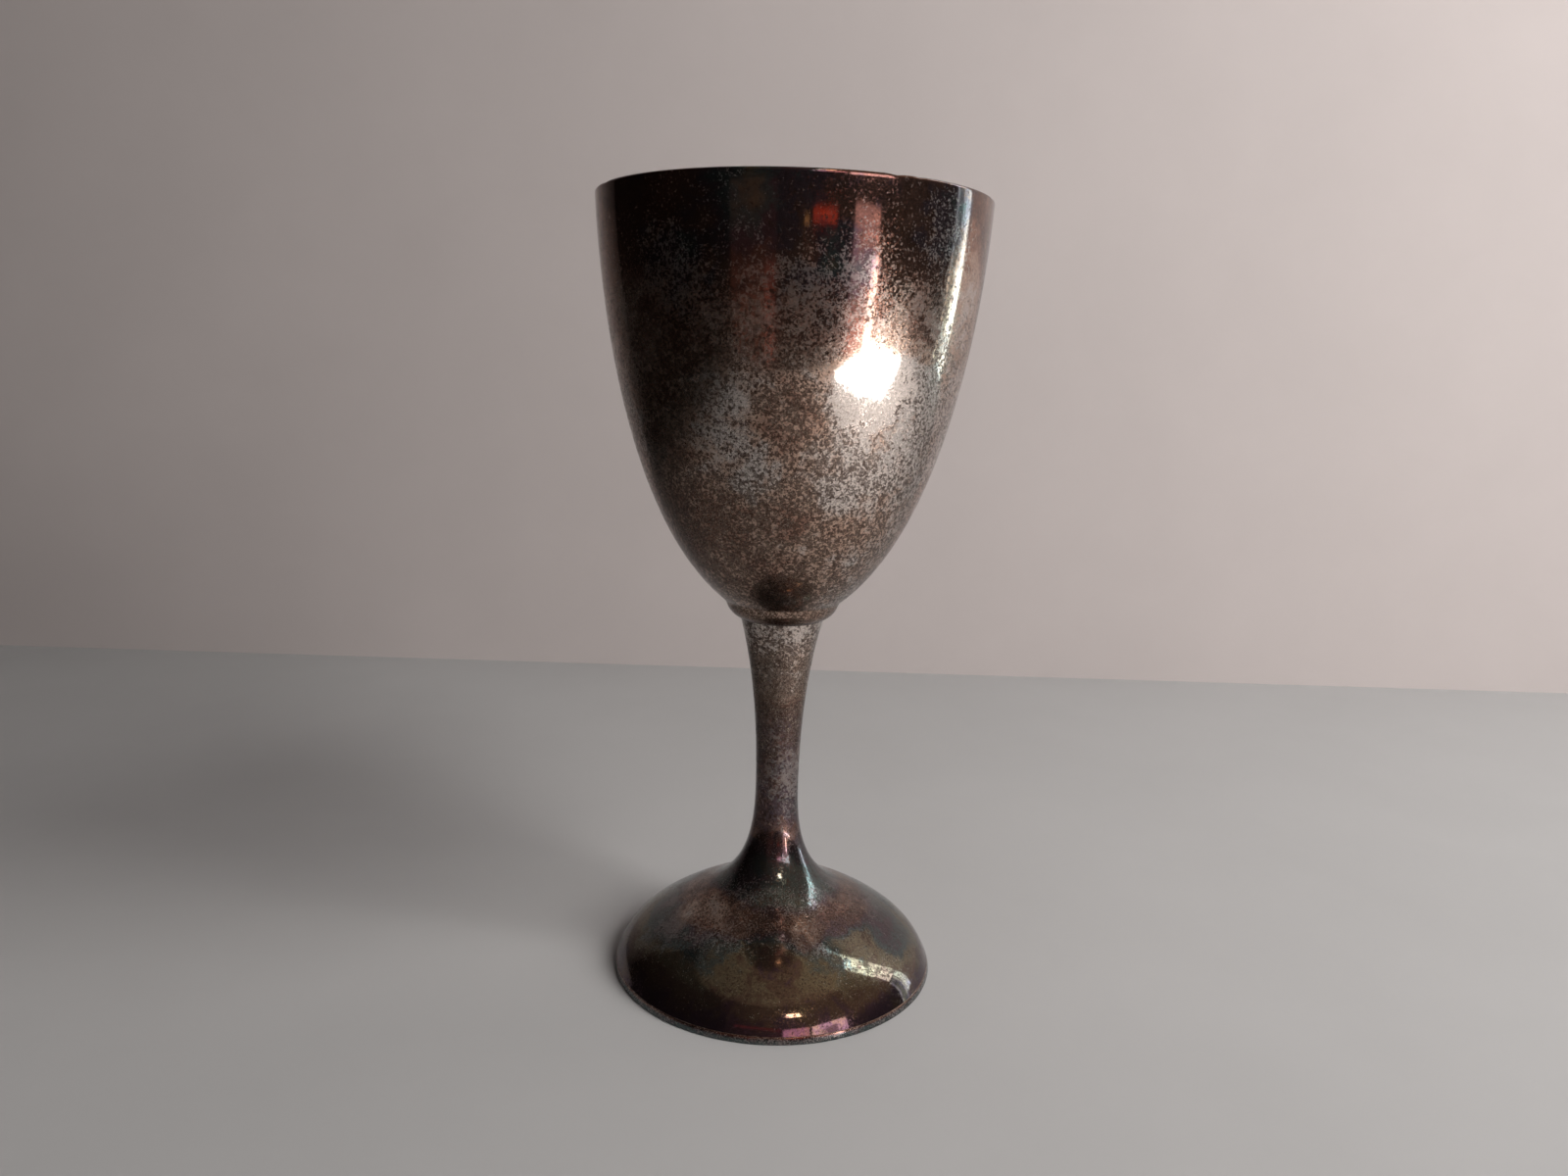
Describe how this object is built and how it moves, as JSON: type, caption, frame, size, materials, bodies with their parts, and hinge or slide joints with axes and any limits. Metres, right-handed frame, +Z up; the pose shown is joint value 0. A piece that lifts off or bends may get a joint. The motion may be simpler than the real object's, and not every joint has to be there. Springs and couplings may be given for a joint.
{
  "type": "stemmed goblet",
  "caption": "Stemmed presentation goblet: deep egg-shaped bowl on a convex collar, hollow waisted stem and domed trumpet foot with a wire edge, in tarnished silver plate.",
  "frame": {"origin": "Centre of the circle that the foot stands on, at the height of the surface under it.", "axes": "+Z runs up the axis of the goblet, from foot to rim. The goblet is the same all round, so +X and +Y have no marks of their own: in the reference view +X is to the right and +Y points away from the viewer."},
  "size_m": [0.08, 0.08, 0.166],
  "materials": {
    "silver_plate": "gloss",
    "bare_brass": "satin",
    "solder": "satin"
  },
  "bodies": {
    "root": {"bowl": "silver_plate", "bowl_solder": "solder", "seat_collar": "silver_plate", "collar_solder": "solder", "stem": "silver_plate", "neck_sleeve": "bare_brass", "neck_solder": "solder", "foot": "silver_plate", "foot_wire": "silver_plate", "foot_solder": "solder"}
  },
  "joints": []
}
